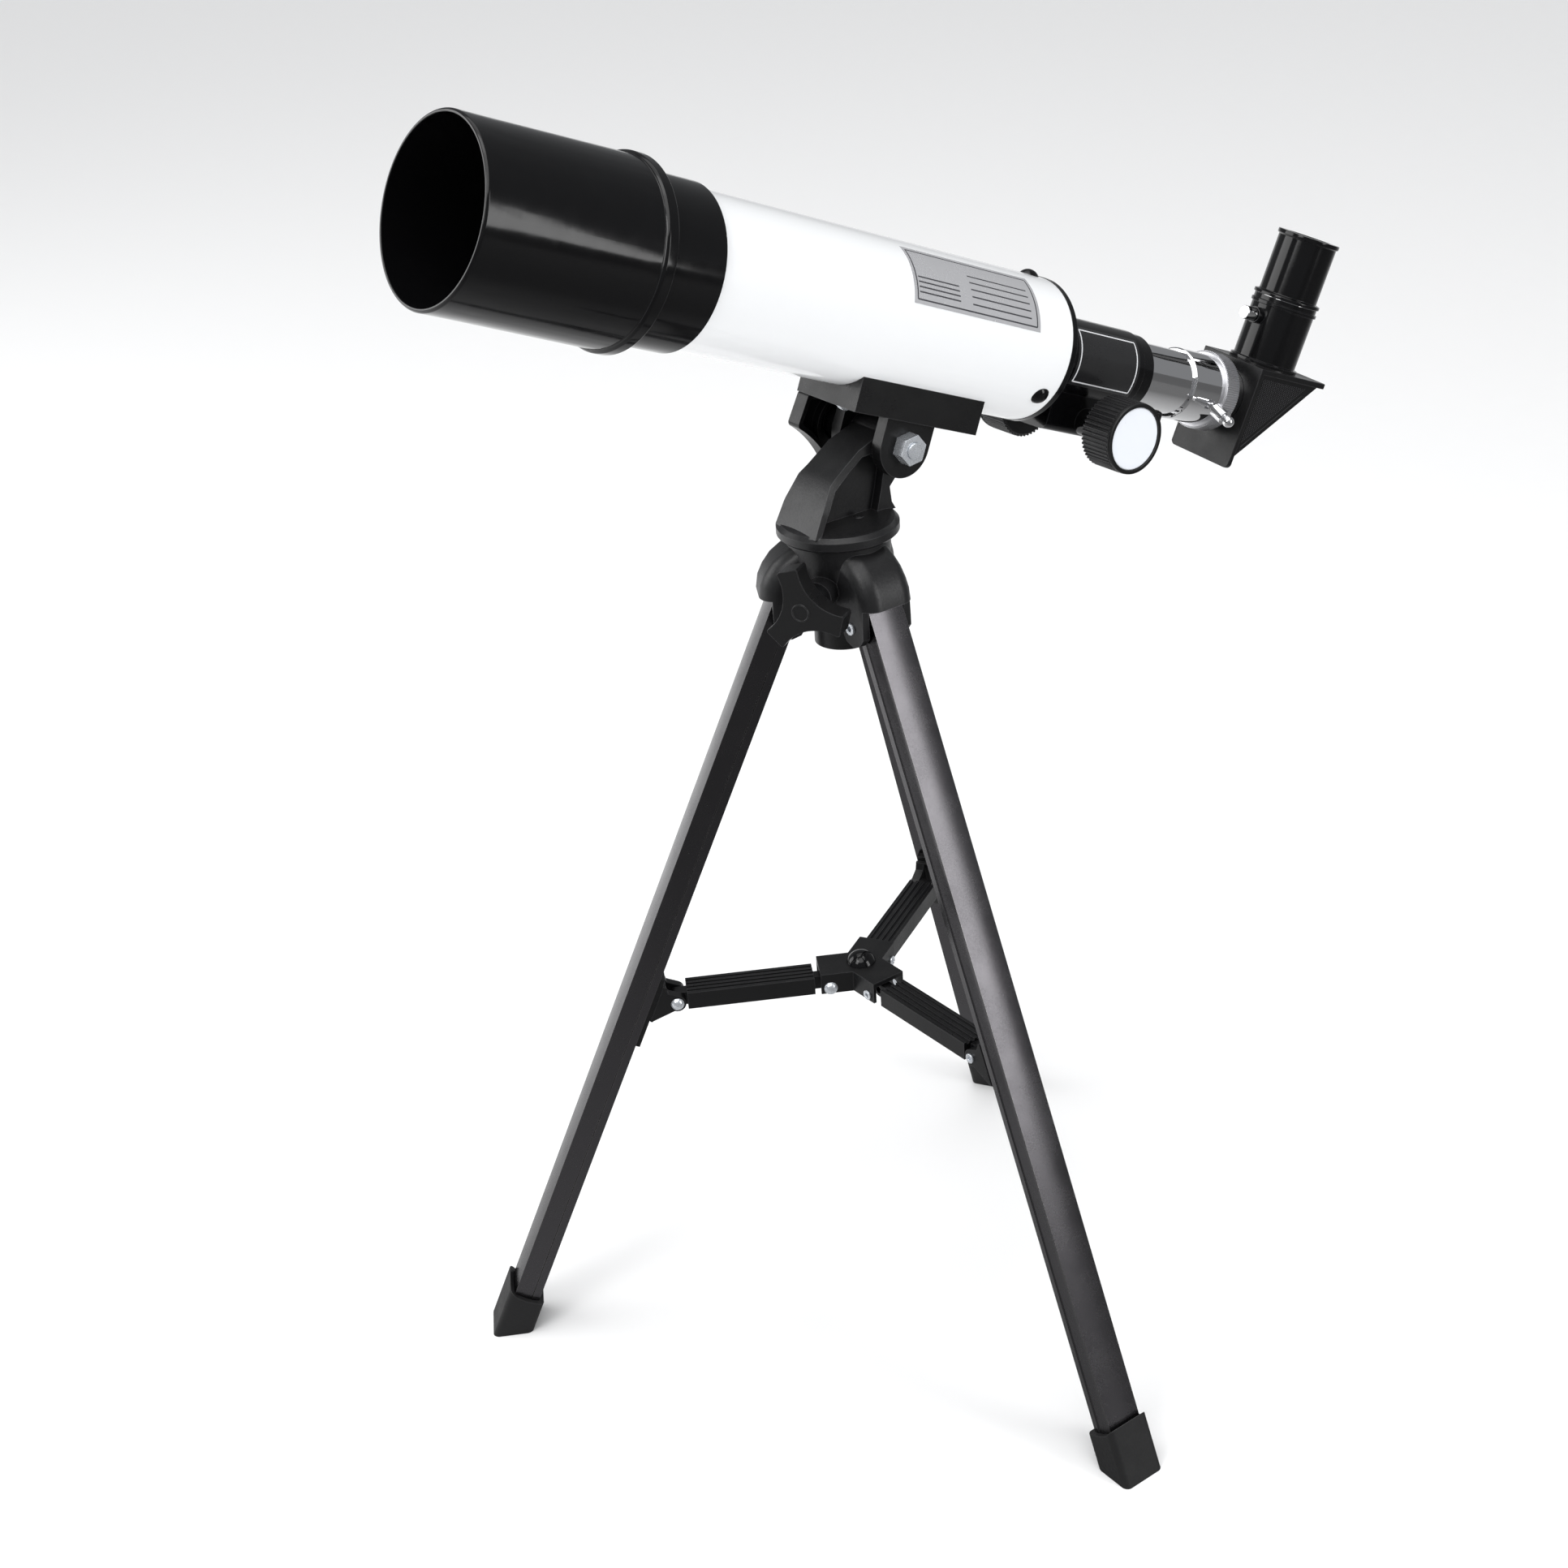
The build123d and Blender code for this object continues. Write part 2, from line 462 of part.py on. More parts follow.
def build_saddle():
    up, along = bolt_in_tube()
    block = box((-SADDLE_HALF_WIDTH, SADDLE_HALF_WIDTH), (SADDLE_BOTTOM, -18), (SADDLE_REAR, SADDLE_FRONT))
    block -= rod(TUBE_R, (0, 0, -120), (0, 0, 20))
    saddle = block + ear(EAR_INNER, EAR_OUTER, up, along) + ear(-EAR_OUTER, -EAR_INNER, up, along)
    saddle -= rod(BOLT_R + RUNNING, (-20, up, along), (20, up, along))
    screws = []
    for z in (-20.0, -62.0):
        saddle -= rod(2.0, (0, -40, z), (0, -20, z))
        screws.append(rod(2.0, (0, SADDLE_BOTTOM, z), (0, -TUBE_R, z))
                      + Plane(origin=(0, SADDLE_BOTTOM, z), x_dir=(1, 0, 0), z_dir=(0, -1, 0)).location * dome(3.6, 2.0))
    add("saddle", TUBE.location * saddle)
    add("saddle_screws", *[TUBE.location * s for s in screws])
    hexagon = extrude(RegularPolygon(5.9, 6), 5.2) - rod(BOLT_R + RUNNING, (0, 0, -1), (0, 0, 7))
    frame = Plane(origin=(EAR_OUTER, up, along), x_dir=(0, 1, 0), z_dir=(1, 0, 0))
    crowned = hexagon & (Pos(0, 0, -7.6) * Sphere(14.0))
    add("tilt_nut", TUBE.location * frame.location * crowned)


def build_tilt_clamp():
    up, along = bolt_in_tube()
    bolt = rod(BOLT_R, (-25, up, along), (EAR_OUTER + 6.0, up, along))
    add("tilt_bolt", TUBE.location * bolt)
    frame = Plane(origin=(-20.5, up, along), x_dir=(0, 0, 1), z_dir=(-1, 0, 0))
    knob = Rot(0, 0, 35.8) * star_knob(21.7, 6.6, 13.6, 6.5, 1.8)
    hollow = Rot(0, 0, 35.8) * star_knob(20.0, 4.9, 11.9, 4.7, 1.0)
    boss = ring(0, 7.0, -5.7, 5.0) + ring(11.0, 12.4, 1.2, 5.0)
    knob = (knob - hollow) + boss - rod(BOLT_R, (0, 0, -6), (0, 0, 4.5))
    add("tilt_clamp_knob", TUBE.location * frame.location * knob)


# ---- focus ----
def pinion():
    """Toothed wheel about local Z, one tooth along +X."""
    wheel = Circle(PITCH_R - 0.9)
    tip, root = PITCH_R + 0.6, PITCH_R - 1.5
    tooth = make_face(Polyline((root, -0.6), (tip, -0.3), (tip, 0.3), (root, 0.6), close=True))
    for k in range(TEETH):
        wheel += Rot(0, 0, 360 / TEETH * k) * tooth
    return extrude(wheel, 7.2)


def rack():
    """Toothed strip along the underside of the drawtube, meshing with the pinion at rest."""
    pitch = 2 * pi * PITCH_R / TEETH
    line = PINION_UP + PITCH_R
    strip = box((-2.5, 2.5), (line + 0.8, -DRAWTUBE_R + 0.3), RACK) - rod(DRAWTUBE_R, (0, 0, -190), (0, 0, -60))
    first = ceil((RACK[0] + 1 - PINION_ALONG) / pitch - 0.5)
    last = floor((RACK[1] - 1 - PINION_ALONG) / pitch - 0.5)
    for k in range(first, last + 1):
        z = PINION_ALONG + (k + 0.5) * pitch
        tooth = make_face(Polyline((-2.5, line + 0.9, z - 0.6), (-2.5, line - 0.7, z - 0.3),
                                   (-2.5, line - 0.7, z + 0.3), (-2.5, line + 0.9, z + 0.6), close=True))
        strip += extrude(tooth, 5.0, dir=(1, 0, 0))
    return strip


def build_focus():
    end = KNOB_OUTER - 4
    shaft = rod(2.0, (-end, PINION_UP, PINION_ALONG), (end, PINION_UP, PINION_ALONG))
    frame = Plane(origin=(-3.6, PINION_UP, PINION_ALONG), x_dir=(0, 1, 0), z_dir=(1, 0, 0))
    add("focus_pinion_shaft", TUBE.location * (shaft + frame.location * pinion()))
    discs = []
    for name, side in (("left", 1), ("right", -1)):
        knob_frame = Plane(origin=(side * KNOB_INNER, PINION_UP, PINION_ALONG), x_dir=(0, 1, 0),
                           z_dir=(side, 0, 0))
        length = KNOB_OUTER - KNOB_INNER
        knob = turned((2.0, 0), (8.0, 0), (8.0, 1.6), (KNOB_R - 0.8, 1.6), (KNOB_R, 2.4),
                      (KNOB_R, length - 0.9), (KNOB_R - 0.9, length), (12.1, length), (12.1, length - 1.2),
                      (0, length - 1.2), (0, length - 4), (2.0, length - 4))
        add(f"focus_knob_{name}", TUBE.location * knob_frame.location * knob)
        discs.append(TUBE.location * knob_frame.location * ring(0, 12.05, length - 1.2, length - 0.4))
    add("focus_knob_discs", *discs)
    tube = ring(BARREL_EYE_R + RUNNING, DRAWTUBE_R, DRAWTUBE_REAR, DRAWTUBE_FRONT)
    add("drawtube", TUBE.location * tube)
    add("drawtube_rack", TUBE.location * rack())


def build_drawtube_end():
    bore = BARREL_EYE_R + RUNNING
    fitting = turned((DRAWTUBE_R, DRAWTUBE_REAR), (DRAWTUBE_R, DRAWTUBE_REAR + 2.6), (13.6, DRAWTUBE_REAR + 2.6),
                     (14.2, DRAWTUBE_REAR + 2.0), (14.2, -200.8), (bore, -200.8), (bore, DRAWTUBE_REAR))
    z, place = THUMBSCREW_ALONG, Rot(0, 0, THUMBSCREW_ANGLE)
    add("drawtube_end", TUBE.location * (fitting - place * rod(1.7, (10, 0, z), (18, 0, z))))
    add("knurled_ring", TUBE.location * turned((bore, -209), (15.4, -209), (15.9, -208.5), (15.9, -201.4),
                                               (15.4, -200.8), (bore, -200.8)))
    screw = rod(1.65, (BARREL_EYE_R + 0.2, 0, z), (16.5, 0, z)) + rod(2.9, (16.2, 0, z), (22.4, 0, z))
    screw += rod(1.6, (22, 0, z), (24, 0, z)) + Pos(24.8, 0, z) * Sphere(2.4)
    add("nose_thumbscrew", TUBE.location * place * screw)


# ---- star diagonal ----
def triangle(front, top, bottom, half_width):
    """Prism with a right angle at the front top, across local x."""
    depth = top - bottom
    face = make_face(Polyline((-half_width, top, front), (-half_width, bottom, front),
                              (-half_width, top, front - depth), close=True))
    return extrude(face, 2 * half_width, dir=(1, 0, 0))


def diagonal_plates():
    """Front and top plates of the diagonal, standing proud of its side walls."""
    half, thick = DIAGONAL_HALF_WIDTH, 2.2
    rear = PLATE_ALONG - (DIAGONAL_TOP - DIAGONAL_BOTTOM)
    front = box((-half, half), (DIAGONAL_BOTTOM, DIAGONAL_TOP), (PLATE_ALONG - thick, PLATE_ALONG))
    top = box((-half, half), (DIAGONAL_TOP - thick, DIAGONAL_TOP), (rear, PLATE_ALONG))
    front = fillet(front.edges().filter_by(Axis.Z).group_by(Axis.Y)[0], 2.2)
    return front + fillet(top.edges().filter_by(Axis.Y).group_by(Axis.Z)[0], 2.2)


def build_diagonal():
    nose_bore = BARREL_EYE_R - 1.3
    side = DIAGONAL_HALF_WIDTH - 1.1
    shell = triangle(PLATE_ALONG - 1, DIAGONAL_TOP - 1, DIAGONAL_BOTTOM + 3, side)
    cavity = triangle(PLATE_ALONG - 3.2, DIAGONAL_TOP - 3.2, DIAGONAL_BOTTOM - 1.2, side - 2.2)
    keep = triangle(PLATE_ALONG + 1, DIAGONAL_TOP + 1, DIAGONAL_BOTTOM + 3.9, side + 1)
    cover = (shell - keep) & box((-side, side), (DIAGONAL_BOTTOM + 8, DIAGONAL_TOP - 7),
                                 (PLATE_ALONG - 60, PLATE_ALONG - 5))
    housing = shell - cavity - cover + diagonal_plates()
    housing -= rod(BARREL_EYE_R, (0, 0, PLATE_ALONG - 3.3), (0, 0, PLATE_ALONG + 1))
    housing -= rod(HOLDER_R - 0.4, (0, DIAGONAL_TOP - 3.3, EYE_ALONG), (0, DIAGONAL_TOP + 1, EYE_ALONG))
    add("diagonal_housing", DIAGONAL.location * housing)
    add("diagonal_back_cover", DIAGONAL.location * cover)
    nose = ring(nose_bore, BARREL_EYE_R, PLATE_ALONG - 3.2, -190)
    add("diagonal_nose", DIAGONAL.location * nose)
    slope = Plane(origin=(0, 0, EYE_ALONG), x_dir=(1, 0, 0), z_dir=(0, 1, 1))
    mirror = slope.location * box((-12.5, 12.5), (-15.5, 15.5), (-2.0, 0))
    add("diagonal_mirror", DIAGONAL.location * mirror)
    holder = turned((BARREL_EYE_R + RUNNING, DIAGONAL_TOP - 3.2), (HOLDER_R - 0.4, DIAGONAL_TOP - 3.2),
                    (HOLDER_R - 0.4, DIAGONAL_TOP), (14.4, DIAGONAL_TOP), (14.4, DIAGONAL_TOP + 1.4),
                    (HOLDER_R, DIAGONAL_TOP + 1.8), (HOLDER_R, HOLDER_TOP - 3.6), (13.9, HOLDER_TOP - 3.3),
                    (13.9, HOLDER_TOP - 2.1), (13.3, HOLDER_TOP - 1.8), (13.3, HOLDER_TOP),
                    (BARREL_EYE_R + RUNNING, HOLDER_TOP))
    eye = Plane(origin=(0, 0, EYE_ALONG), x_dir=(1, 0, 0), z_dir=(0, 1, 0))
    boss = rod(3.3, (0, -12.9, 34.4), (0, -16.4, 34.4))
    boss -= rod(BARREL_EYE_R + 0.5, (0, 0, 30), (0, 0, 39))
    hole = rod(1.7, (0, -10, 34.4), (0, -18, 34.4))
    add("eyepiece_holder", DIAGONAL.location * eye.location * ((holder + boss) - hole))
    screw = rod(1.65, (0, -BARREL_EYE_R - 0.25, 34.4), (0, -17, 34.4))
    screw += rod(2.7, (0, -16.6, 34.4), (0, -22.4, 34.4))
    add("eyepiece_thumbscrew", DIAGONAL.location * eye.location * screw)
    build_eyepiece(eye)


def build_eyepiece(eye):
    place = DIAGONAL.location * eye.location
    barrel = ring(10.9, BARREL_EYE_R, 21.0, HOLDER_TOP + 0.15)
    body = turned((10.9, HOLDER_TOP + 0.15), (14.0, HOLDER_TOP + 0.15), (14.0, HOLDER_TOP + 1.5),
                  (BARREL_EYE_R, HOLDER_TOP + 2.0), (BARREL_EYE_R, EYEPIECE_TOP - 2.0), (13.0, EYEPIECE_TOP - 1.6),
                  (13.0, EYEPIECE_TOP), (9.0, EYEPIECE_TOP), (6.2, EYEPIECE_TOP - 3.0), (6.2, EYEPIECE_TOP - 4.0),
                  (10.9, EYEPIECE_TOP - 4.0))
    add("eyepiece_barrel", place * barrel)
    add("eyepiece_body", place * body)
    add("eyepiece_field_lens", place * ring(0, 10.9, 26.0, 29.0))
    add("eyepiece_eye_lens", place * ring(0, 10.9, EYEPIECE_TOP - 7.0, EYEPIECE_TOP - 4.0))


def main():
    build_legs()
    build_spreader()
    build_head()
    build_pan_lock()
    build_yoke()
    build_objective()
    build_tube()
    build_cell_and_shield()
    build_saddle()
    build_tilt_clamp()
    build_focus()
    build_drawtube_end()
    build_diagonal()
    os.makedirs("parts", exist_ok=True)
    for name, shape in PARTS.items():
        export_step(shape, f"parts/{name}.step")


main()
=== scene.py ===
import json
from math import cos, pi, radians, sin

import bmesh
import bpy
from mathutils import Matrix, Vector

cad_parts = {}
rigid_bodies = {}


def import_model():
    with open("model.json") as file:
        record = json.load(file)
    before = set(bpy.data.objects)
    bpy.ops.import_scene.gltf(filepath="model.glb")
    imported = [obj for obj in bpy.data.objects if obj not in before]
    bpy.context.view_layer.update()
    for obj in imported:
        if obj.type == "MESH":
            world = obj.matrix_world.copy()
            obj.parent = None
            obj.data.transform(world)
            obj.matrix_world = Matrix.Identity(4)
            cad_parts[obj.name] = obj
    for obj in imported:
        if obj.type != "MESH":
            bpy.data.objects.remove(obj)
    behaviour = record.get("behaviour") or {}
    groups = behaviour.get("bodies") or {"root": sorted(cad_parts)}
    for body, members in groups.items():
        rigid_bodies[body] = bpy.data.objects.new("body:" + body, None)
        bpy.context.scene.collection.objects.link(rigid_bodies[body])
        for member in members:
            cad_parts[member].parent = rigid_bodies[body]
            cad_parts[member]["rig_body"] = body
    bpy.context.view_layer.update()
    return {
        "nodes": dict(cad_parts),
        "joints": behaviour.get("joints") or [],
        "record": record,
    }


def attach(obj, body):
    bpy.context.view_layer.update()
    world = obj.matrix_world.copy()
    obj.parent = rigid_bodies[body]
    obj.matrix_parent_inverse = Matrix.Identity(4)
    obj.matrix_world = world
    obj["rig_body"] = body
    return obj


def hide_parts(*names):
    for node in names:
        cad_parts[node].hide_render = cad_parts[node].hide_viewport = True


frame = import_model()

MM = 0.001
JOINTS = {joint["name"]: joint for joint in frame["joints"]}
NODES = frame["nodes"]


# ---- places on the object ----
def placed(x, y, z, origin):
    """Matrix that puts local axes x, y, z at an origin, for shapes drawn in metres."""
    rows = Matrix((x, y, z)).transposed().to_4x4()
    rows.translation = origin
    return rows


ALONG = Vector(JOINTS["dew_shield_slide"]["axis"]).normalized()    # towards the objective
NEAR = Vector((0, -1, 0))
UP = ALONG.cross(NEAR)
NOSE_ALONG = -205 * MM                                              # where the diagonal turns
AXIS_START = Vector(JOINTS["diagonal_turn"]["pos_m"]) - ALONG * NOSE_ALONG
TUBE = placed(NEAR, UP, ALONG, AXIS_START)
EYE_UP = Vector(JOINTS["eyepiece_slide"]["axis"]).normalized()
EYE_SIDE = EYE_UP.cross(ALONG)
FOCUS_AXIS = Vector(JOINTS["focus_turn"]["pos_m"])
DIAGONAL_FRONT, DIAGONAL_TOP, DIAGONAL_BOTTOM, DIAGONAL_SIDE = -216.3, 14.9, -23.5, 15.8


# ---- shared surface effects ----
MIX_FIRST, MIX_SECOND, MIX_RESULT = 6, 7, 2        # the Mix node's colour sockets
# pale edge colours are painted edge highlights, broken up by noise like wear
EDGE_HIGHLIGHT_BREAK_UP = 0.6
EDGE_HIGHLIGHT_GAIN = 4.0
DUST_COLOUR = (0.55, 0.53, 0.5)
PLAIN_GRAIN = (900.0, 0.1, 0.0001)                 # scale, strength and depth in metres
NOISE_LOW, NOISE_HIGH = 0.3, 0.7                   # where nearly all of a noise value lies


def group_tree(name, inputs, outputs):
    """Shader node group with float inputs {name: default} and outputs {name: kind}."""
    tree = bpy.data.node_groups.new(name, "ShaderNodeTree")
    for label, default in inputs.items():
        socket = tree.interface.new_socket(name=label, in_out="INPUT", socket_type="NodeSocketFloat")
        socket.default_value = default
    for label, kind in outputs.items():
        tree.interface.new_socket(name=label, in_out="OUTPUT", socket_type=kind)
    return tree, tree.nodes.new("NodeGroupInput"), tree.nodes.new("NodeGroupOutput")


def math_node(tree, operation, first, second):
    node = tree.nodes.new("ShaderNodeMath")
    node.operation = operation
    for socket, value in zip(node.inputs, (first, second)):
        if isinstance(value, (int, float)):
            socket.default_value = value
        else:
            tree.links.new(value, socket)
    return node.outputs[0]


def noise_node(tree, scale, detail, roughness=0.5):
    coordinates = tree.nodes.new("ShaderNodeTexCoord")
    noise = tree.nodes.new("ShaderNodeTexNoise")
    noise.inputs["Detail"].default_value = detail
    noise.inputs["Roughness"].default_value = roughness
    tree.links.new(coordinates.outputs["Object"], noise.inputs["Vector"])
    if isinstance(scale, (int, float)):
        noise.inputs["Scale"].default_value = scale
    else:
        tree.links.new(scale, noise.inputs["Scale"])
    return noise.outputs["Fac"]


def make_grain():
    """Fine moulded or cast grain: a bumped normal and a value that varies over the surface."""
    tree, entry, leave = group_tree(
        "surface_grain", {"Scale": 900.0, "Strength": 0.1, "Distance": 0.0001},
        {"Value": "NodeSocketFloat", "Normal": "NodeSocketVector"})
    fine = noise_node(tree, entry.outputs["Scale"], 3.0)
    broad = noise_node(tree, math_node(tree, "MULTIPLY", entry.outputs["Scale"], 0.06), 4.0)
    bump = tree.nodes.new("ShaderNodeBump")
    tree.links.new(entry.outputs["Strength"], bump.inputs["Strength"])
    tree.links.new(entry.outputs["Distance"], bump.inputs["Distance"])
    tree.links.new(fine, bump.inputs["Height"])
    blend = math_node(tree, "ADD", math_node(tree, "MULTIPLY", fine, 0.4),
                      math_node(tree, "MULTIPLY", broad, 0.6))
    tree.links.new(blend, leave.inputs["Value"])
    tree.links.new(bump.outputs["Normal"], leave.inputs["Normal"])
    return tree


def make_edge_highlight_and_wear():
    """Mask of sharp edges for a painted edge highlight, where the rounded normal leaves the face's own,
    broken up by noise like wear.
    """
    tree, entry, leave = group_tree(
        "edge_highlight_and_wear", {"Radius": 0.0005, "Gain": 3.0, "Break Up": 0.6}, {"Mask": "NodeSocketFloat"})
    rounded = tree.nodes.new("ShaderNodeBevel")
    rounded.samples = 4
    tree.links.new(entry.outputs["Radius"], rounded.inputs["Radius"])
    facing = tree.nodes.new("ShaderNodeVectorMath")
    facing.operation = "DOT_PRODUCT"
    tree.links.new(rounded.outputs["Normal"], facing.inputs[0])
    tree.links.new(tree.nodes.new("ShaderNodeNewGeometry").outputs["Normal"], facing.inputs[1])
    turned_away = math_node(tree, "SUBTRACT", 1.0, facing.outputs["Value"])
    edge = math_node(tree, "MULTIPLY", turned_away, entry.outputs["Gain"])
    rough = math_node(tree, "MULTIPLY", noise_node(tree, 260.0, 5.0, 0.6), entry.outputs["Break Up"])
    mask = tree.nodes.new("ShaderNodeClamp")
    left_over = math_node(tree, "SUBTRACT", 1.0, rough)
    tree.links.new(math_node(tree, "MULTIPLY", edge, left_over), mask.inputs["Value"])
    tree.links.new(mask.outputs["Result"], leave.inputs["Mask"])
    return tree


def make_dust():
    """Mask of light dust that settles on faces turned up."""
    tree, entry, leave = group_tree(
        "settled_dust", {"Amount": 0.1, "Scale": 120.0}, {"Mask": "NodeSocketFloat"})
    geometry = tree.nodes.new("ShaderNodeNewGeometry")
    split = tree.nodes.new("ShaderNodeSeparateXYZ")
    tree.links.new(geometry.outputs["Normal"], split.inputs["Vector"])
    upward = math_node(tree, "MAXIMUM", split.outputs["Z"], 0.0)
    specks = math_node(tree, "POWER", noise_node(tree, entry.outputs["Scale"], 6.0, 0.7), 3.0)
    settled = math_node(tree, "MULTIPLY", upward, specks)
    mask = math_node(tree, "MULTIPLY", settled, entry.outputs["Amount"])
    tree.links.new(mask, leave.inputs["Mask"])
    return tree


GRAIN, EDGE_HIGHLIGHT_AND_WEAR, DUST = make_grain(), make_edge_highlight_and_wear(), make_dust()


def place_group(tree, group, **values):
    node = tree.nodes.new("ShaderNodeGroup")
    node.node_tree = group
    for label, value in values.items():
        node.inputs[label.replace("_", " ")].default_value = value
    return node


def mixed(tree, factor, first, second):
    """Colour mix of two colours or sockets."""
    node = tree.nodes.new("ShaderNodeMix")
    node.data_type = "RGBA"
    tree.links.new(factor, node.inputs["Factor"])
    for socket, value in ((node.inputs[MIX_FIRST], first), (node.inputs[MIX_SECOND], second)):
        if isinstance(value, tuple):
            socket.default_value = (*value, 1.0)
        else:
            tree.links.new(value, socket)
    return node.outputs[MIX_RESULT]


def finish_material(name, colour, rough, spread=0.08, grain=PLAIN_GRAIN, highlight_and_wear=None, dust=0.1,
                    **sockets):
    """Principled finish with grain, a little dust and, where a colour is given for them, paler edges painted
    as a highlight broken up like wear.
    """
    material = bpy.data.materials.new(name)
    material.use_nodes = True
    tree = material.node_tree
    shader = tree.nodes["Principled BSDF"]
    surface = place_group(tree, GRAIN, Scale=grain[0], Strength=grain[1], Distance=grain[2])
    base = colour
    # paler edges: a painted highlight along sharp edges, broken up like wear
    if highlight_and_wear:
        edges = place_group(tree, EDGE_HIGHLIGHT_AND_WEAR, Gain=EDGE_HIGHLIGHT_GAIN, Break_Up=EDGE_HIGHLIGHT_BREAK_UP)
        base = mixed(tree, edges.outputs["Mask"], base, highlight_and_wear)
    settled = place_group(tree, DUST, Amount=dust)
    base = mixed(tree, settled.outputs["Mask"], base, DUST_COLOUR)
    tree.links.new(base, shader.inputs["Base Color"])
    span = tree.nodes.new("ShaderNodeMapRange")
    span.inputs["From Min"].default_value = NOISE_LOW
    span.inputs["From Max"].default_value = NOISE_HIGH
    span.inputs["To Min"].default_value = max(0.0, rough - spread)
    span.inputs["To Max"].default_value = rough + spread
    tree.links.new(surface.outputs["Value"], span.inputs["Value"])
    tree.links.new(span.outputs["Result"], shader.inputs["Roughness"])
    tree.links.new(surface.outputs["Normal"], shader.inputs["Normal"])
    for label, value in sockets.items():
        shader.inputs[label.replace("_", " ")].default_value = value
    return material


# the colour given for each finish's edges is a painted edge highlight
FINISH = {
    "enamel": finish_material(
        "white_enamel", (0.87, 0.88, 0.89), 0.22, 0.05, (260.0, 0.05, 0.0002), dust=0.04,
        Coat_Weight=0.6, Coat_Roughness=0.06),
    "gloss_black": finish_material(
        "gloss_black_plastic", (0.003, 0.003, 0.0034), 0.12, 0.04, (180.0, 0.05, 0.0003),
        highlight_and_wear=(0.04, 0.04, 0.042), dust=0.01, Specular_IOR_Level=0.32),
    "plastic": finish_material(
        "satin_black_plastic", (0.006, 0.006, 0.0064), 0.33, 0.09, (1500.0, 0.22, 0.0001),
        highlight_and_wear=(0.06, 0.06, 0.063), dust=0.03, Specular_IOR_Level=0.3),
    "cast": finish_material(
        "textured_black_casting", (0.009, 0.009, 0.0098), 0.38, 0.08, (1100.0, 0.35, 0.00015),
        highlight_and_wear=(0.09, 0.09, 0.095), dust=0.04, Specular_IOR_Level=0.4),
    "leg": finish_material(
        "black_anodised_leg", (0.085, 0.082, 0.087), 0.26, 0.05, (1300.0, 0.08, 0.0001),
        highlight_and_wear=(0.2, 0.195, 0.19), dust=0.02, Metallic=1.0),
    "rubber": finish_material(
        "black_rubber", (0.009, 0.009, 0.0095), 0.5, 0.1, (700.0, 0.4, 0.0002),
        highlight_and_wear=(0.06, 0.06, 0.06), dust=0.06, Specular_IOR_Level=0.3),
    "chrome": finish_material(
        "chrome_plate", (0.80, 0.80, 0.81), 0.05, 0.025, (400.0, 0.02, 0.0001), dust=0.03,
        Metallic=1.0),
    "zinc": finish_material(
        "zinc_plate", (0.72, 0.75, 0.79), 0.26, 0.08, (800.0, 0.15, 0.0001), dust=0.02,
        Metallic=0.75),
    "alloy": finish_material(
        "matte_alloy", (0.55, 0.55, 0.57), 0.42, 0.08, (1400.0, 0.2, 0.0001), dust=0.04,
        Metallic=1.0),
    "disc": finish_material(
        "white_disc", (0.80, 0.83, 0.88), 0.3, 0.05, (500.0, 0.04, 0.0001), dust=0.02,
        Coat_Weight=0.3, Coat_Roughness=0.1),
    "glass": finish_material(
        "coated_glass", (0.93, 0.97, 1.0), 0.01, 0.005, (200.0, 0.0, 0.0001), dust=0.0,
        Transmission_Weight=1.0, IOR=1.52),
    "mirror": finish_material(
        "silvered_mirror", (0.92, 0.93, 0.95), 0.02, 0.01, (200.0, 0.0, 0.0001), dust=0.0,
        Metallic=1.0),
}


BORDER_MARGIN, LINE_HALF_WIDTH = 1.6, 0.28           # mm on the labels


